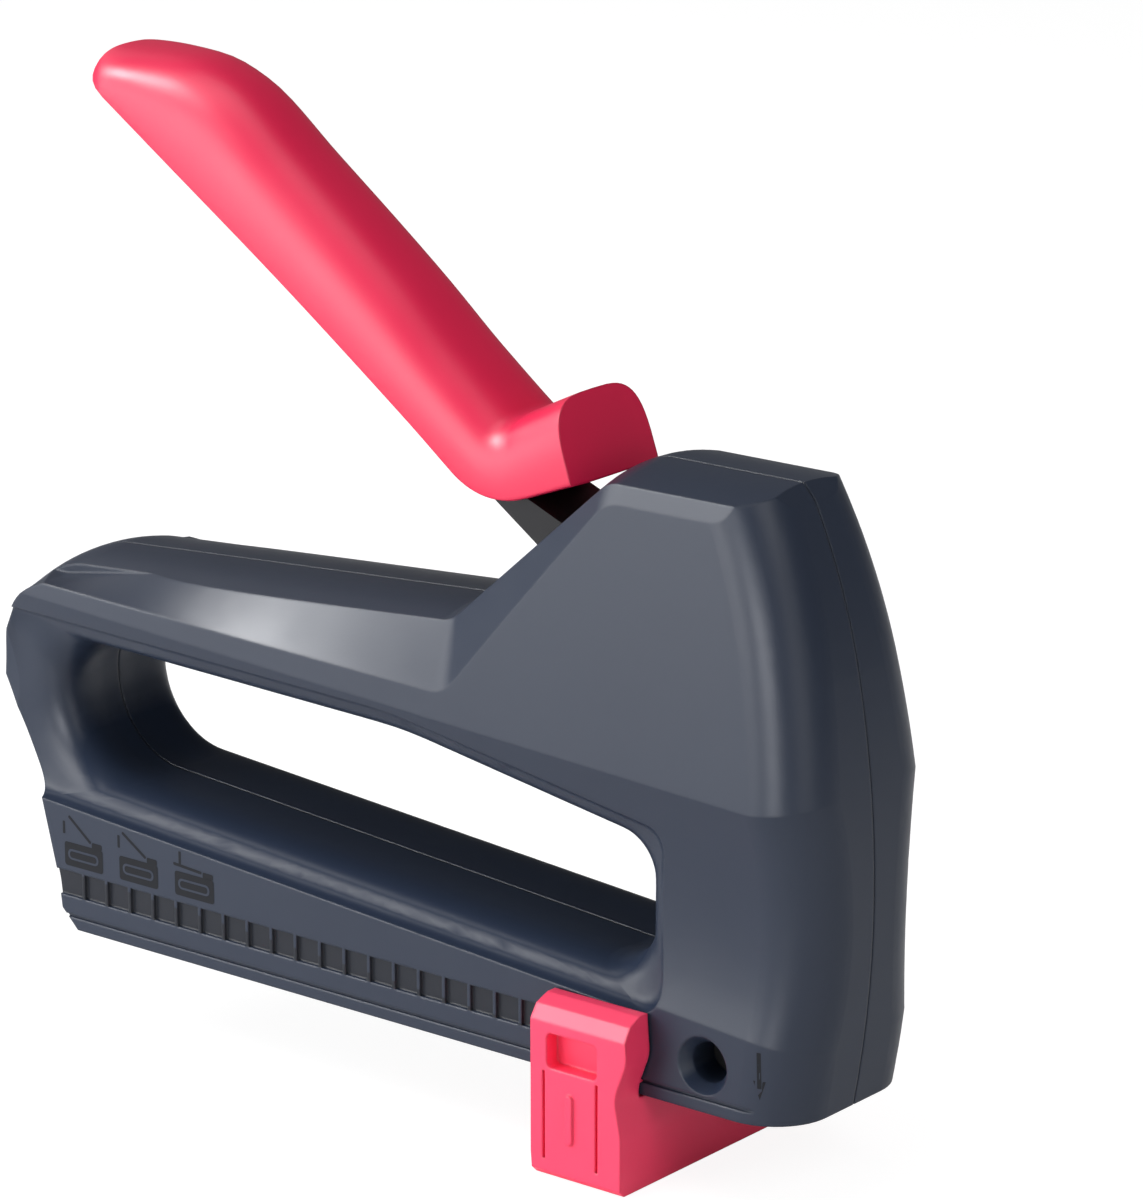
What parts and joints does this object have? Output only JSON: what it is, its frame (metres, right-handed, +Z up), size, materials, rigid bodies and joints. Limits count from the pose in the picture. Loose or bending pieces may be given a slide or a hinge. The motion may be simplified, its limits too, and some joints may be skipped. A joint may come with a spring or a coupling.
{
  "type": "hand staple gun",
  "caption": "Manual staple gun with split plastic housing, finger opening, hinged lever, spring-driven striker, rear-loading magazine and sliding edge guide.",
  "frame": {"origin": "centre of the staple exit, where the striker blade leaves the sole; z = 0 is the sole and y = 0 is the joint between the two half shells", "axes": "+X to the nose, +Z up from the sole through the head, -Y the side that the picture shows nearest, +Y the side with the housing screws"},
  "size_m": [0.1633, 0.046, 0.1572],
  "materials": {
    "housing_plastic": "slate navy moulded ABS, fine grain, satin",
    "lever_plastic": "crimson moulded plastic, smooth satin gloss",
    "guide_plastic": "crimson moulded plastic, fine grain",
    "black_steel": "black oxide and black enamel, satin",
    "zinc_steel": "zinc plated sheet and wire",
    "spring_steel": "oiled spring wire",
    "hard_steel": "hardened and ground",
    "buffer_rubber": "dull moulded rubber"
  },
  "bodies": {
    "housing": {"near_shell": "housing_plastic", "far_shell": "housing_plastic", "housing_screws": "black_steel", "magazine_screw": "black_steel", "nose_plate": "zinc_steel", "magazine_channel": "zinc_steel", "spring_cap": "zinc_steel", "drive_spring": "spring_steel", "bumper": "buffer_rubber", "pivot_pin": "zinc_steel", "pivot_washers": "zinc_steel"},
    "lever": {"lever_arm": "black_steel", "lever_grip": "lever_plastic", "grip_screws": "black_steel"},
    "striker": {"striker_blade": "hard_steel", "plunger": "hard_steel", "lift_pin": "zinc_steel", "blade_rivets": "zinc_steel"},
    "magazine": {"core_rail": "zinc_steel", "guide_rod": "zinc_steel", "end_cap": "housing_plastic", "pusher_spring": "spring_steel"},
    "pusher": {"staple_pusher": "hard_steel"},
    "guide": {"edge_guide": "guide_plastic"}
  },
  "joints": [
    {"name": "lever_hinge", "type": "hinge", "parent": "housing", "child": "lever", "pos_m": [-0.0363, 0, 0.0696], "axis": [0, -1, 0], "range_deg": [0, 39.2], "stiffness_Nm_per_rad": 5, "springref_deg": -5.73},
    {"name": "striker_slide", "type": "slide", "parent": "housing", "child": "striker", "axis": [0, 0, 1], "range_m": [0, 0.0172], "deforming": ["drive_spring"]},
    {"name": "magazine_slide", "type": "slide", "parent": "housing", "child": "magazine", "axis": [-1, 0, 0], "range_m": [0, 0.09]},
    {"name": "pusher_slide", "type": "slide", "parent": "magazine", "child": "pusher", "axis": [-1, 0, 0], "range_m": [0, 0.105], "stiffness_N_per_m": 20, "springref_m": -0.04, "deforming": ["pusher_spring"]},
    {"name": "guide_slide", "type": "slide", "parent": "housing", "child": "guide", "axis": [-1, 0, 0], "range_m": [0, 0.095]}
  ],
  "couplings": [
    {"joint": "striker_slide", "follows": "lever_hinge", "m_per_rad": 0.0248}
  ]
}
